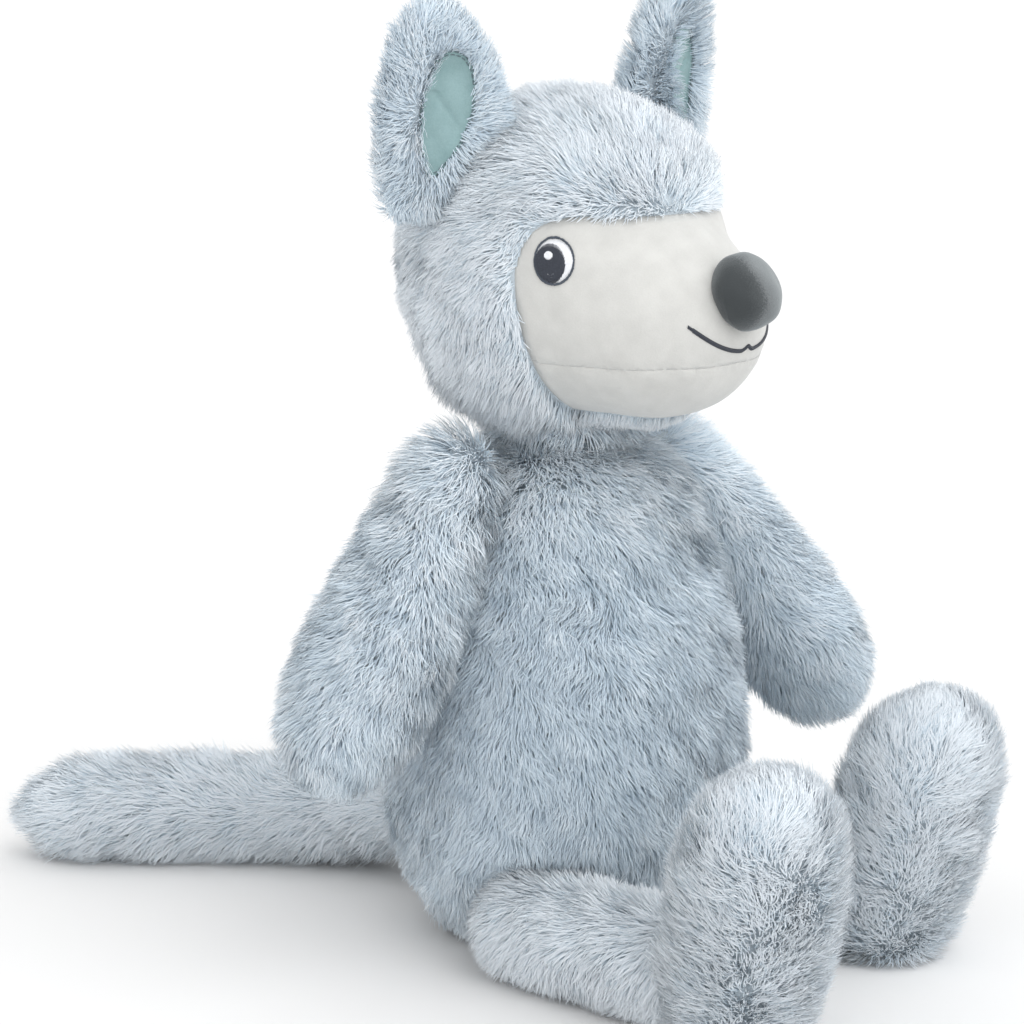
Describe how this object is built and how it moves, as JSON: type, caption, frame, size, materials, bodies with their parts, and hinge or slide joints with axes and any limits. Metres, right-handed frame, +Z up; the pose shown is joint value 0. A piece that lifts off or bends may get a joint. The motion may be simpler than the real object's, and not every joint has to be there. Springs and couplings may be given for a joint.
{
  "type": "plush dog",
  "caption": "Seated plush wolf-like dog with long frosted pile, short pile face with sewn nose and stitched eyes, upright ears, and soft arms, legs and tail sewn to the body.",
  "frame": {"origin": "middle of the flat seat panel that the dog sits on", "axes": "+Z up, the dog faces -Y, its left side is +X"},
  "size_m": [0.197, 0.3042, 0.2875],
  "materials": {
    "fur_cloth": "long frosted pile, blue-grey",
    "ear_velour": "short velour, soft teal",
    "face_velour": "short velour, off-white",
    "nose_velvet": "dense velvet, charcoal",
    "embroidery": "satin stitch thread, dark navy",
    "stuffing": "loose fibre filling, white",
    "pellet_bag": "plain woven bag full of beads"
  },
  "bodies": {
    "torso": {"torso_front_cover": "fur_cloth", "torso_back_cover": "fur_cloth", "seat_panel": "fur_cloth", "seat_pellet_bag": "pellet_bag", "torso_stuffing": "stuffing"},
    "neck": {"neck_stuffing": "stuffing"},
    "head": {"head_right_cover": "fur_cloth", "head_left_cover": "fur_cloth", "face_panel": "face_velour", "chin_panel": "face_velour", "head_stuffing": "stuffing", "nose": "nose_velvet", "eye_right": "embroidery", "eye_left": "embroidery", "mouth_stitching": "embroidery"},
    "ear_right": {"ear_right_back": "fur_cloth", "ear_right_front": "fur_cloth", "ear_right_lining": "ear_velour"},
    "ear_left": {"ear_left_back": "fur_cloth", "ear_left_front": "fur_cloth", "ear_left_lining": "ear_velour"},
    "arm_right": {"arm_right_outer_cover": "fur_cloth", "arm_right_inner_cover": "fur_cloth", "arm_right_stuffing": "stuffing"},
    "arm_left": {"arm_left_outer_cover": "fur_cloth", "arm_left_inner_cover": "fur_cloth", "arm_left_stuffing": "stuffing"},
    "leg_right": {"leg_right_cover": "fur_cloth", "leg_right_stuffing": "stuffing", "foot_right_cover": "fur_cloth", "foot_right_sole": "fur_cloth", "foot_right_stuffing": "stuffing"},
    "leg_left": {"leg_left_cover": "fur_cloth", "leg_left_stuffing": "stuffing", "foot_left_cover": "fur_cloth", "foot_left_sole": "fur_cloth", "foot_left_stuffing": "stuffing"},
    "tail": {"tail_upper_cover": "fur_cloth", "tail_lower_cover": "fur_cloth", "tail_stuffing": "stuffing"}
  },
  "joints": [
    {"name": "head_turn", "type": "hinge", "parent": "torso", "child": "neck", "pos_m": [0, 0, 0.157], "axis": [0, 0, 1], "range_deg": [-40, 40], "stiffness_Nm_per_rad": 0.06},
    {"name": "head_nod", "type": "hinge", "parent": "neck", "child": "head", "pos_m": [0, 0, 0.157], "axis": [1, 0, 0], "range_deg": [-14, 14], "stiffness_Nm_per_rad": 0.12},
    {"name": "ear_right_flex", "type": "hinge", "parent": "head", "child": "ear_right", "pos_m": [-0.039, 0.005, 0.233], "axis": [0.7752, -0.3451, 0.5291], "range_deg": [-14, 14], "stiffness_Nm_per_rad": 0.012},
    {"name": "ear_left_flex", "type": "hinge", "parent": "head", "child": "ear_left", "pos_m": [0.0375, -0.0025, 0.238], "axis": [0.8196, 0.2196, -0.5291], "range_deg": [-14, 14], "stiffness_Nm_per_rad": 0.012},
    {"name": "arm_right_swing", "type": "hinge", "parent": "torso", "child": "arm_right", "pos_m": [-0.0465, 0.0025, 0.146], "axis": [1, 0, 0], "range_deg": [-60, 40]},
    {"name": "arm_left_swing", "type": "hinge", "parent": "torso", "child": "arm_left", "pos_m": [0.052, 0.001, 0.137], "axis": [1, 0, 0], "range_deg": [-50, 50]},
    {"name": "leg_right_swing", "type": "hinge", "parent": "torso", "child": "leg_right", "pos_m": [-0.045, -0.026, 0.015], "axis": [1, 0, 0], "range_deg": [-15, 40]},
    {"name": "leg_left_swing", "type": "hinge", "parent": "torso", "child": "leg_left", "pos_m": [0.045, -0.026, 0.015], "axis": [1, 0, 0], "range_deg": [-15, 40]},
    {"name": "tail_wag", "type": "hinge", "parent": "torso", "child": "tail", "pos_m": [0, 0.05, 0.027], "axis": [0, 0, 1], "range_deg": [-25, 25]}
  ]
}
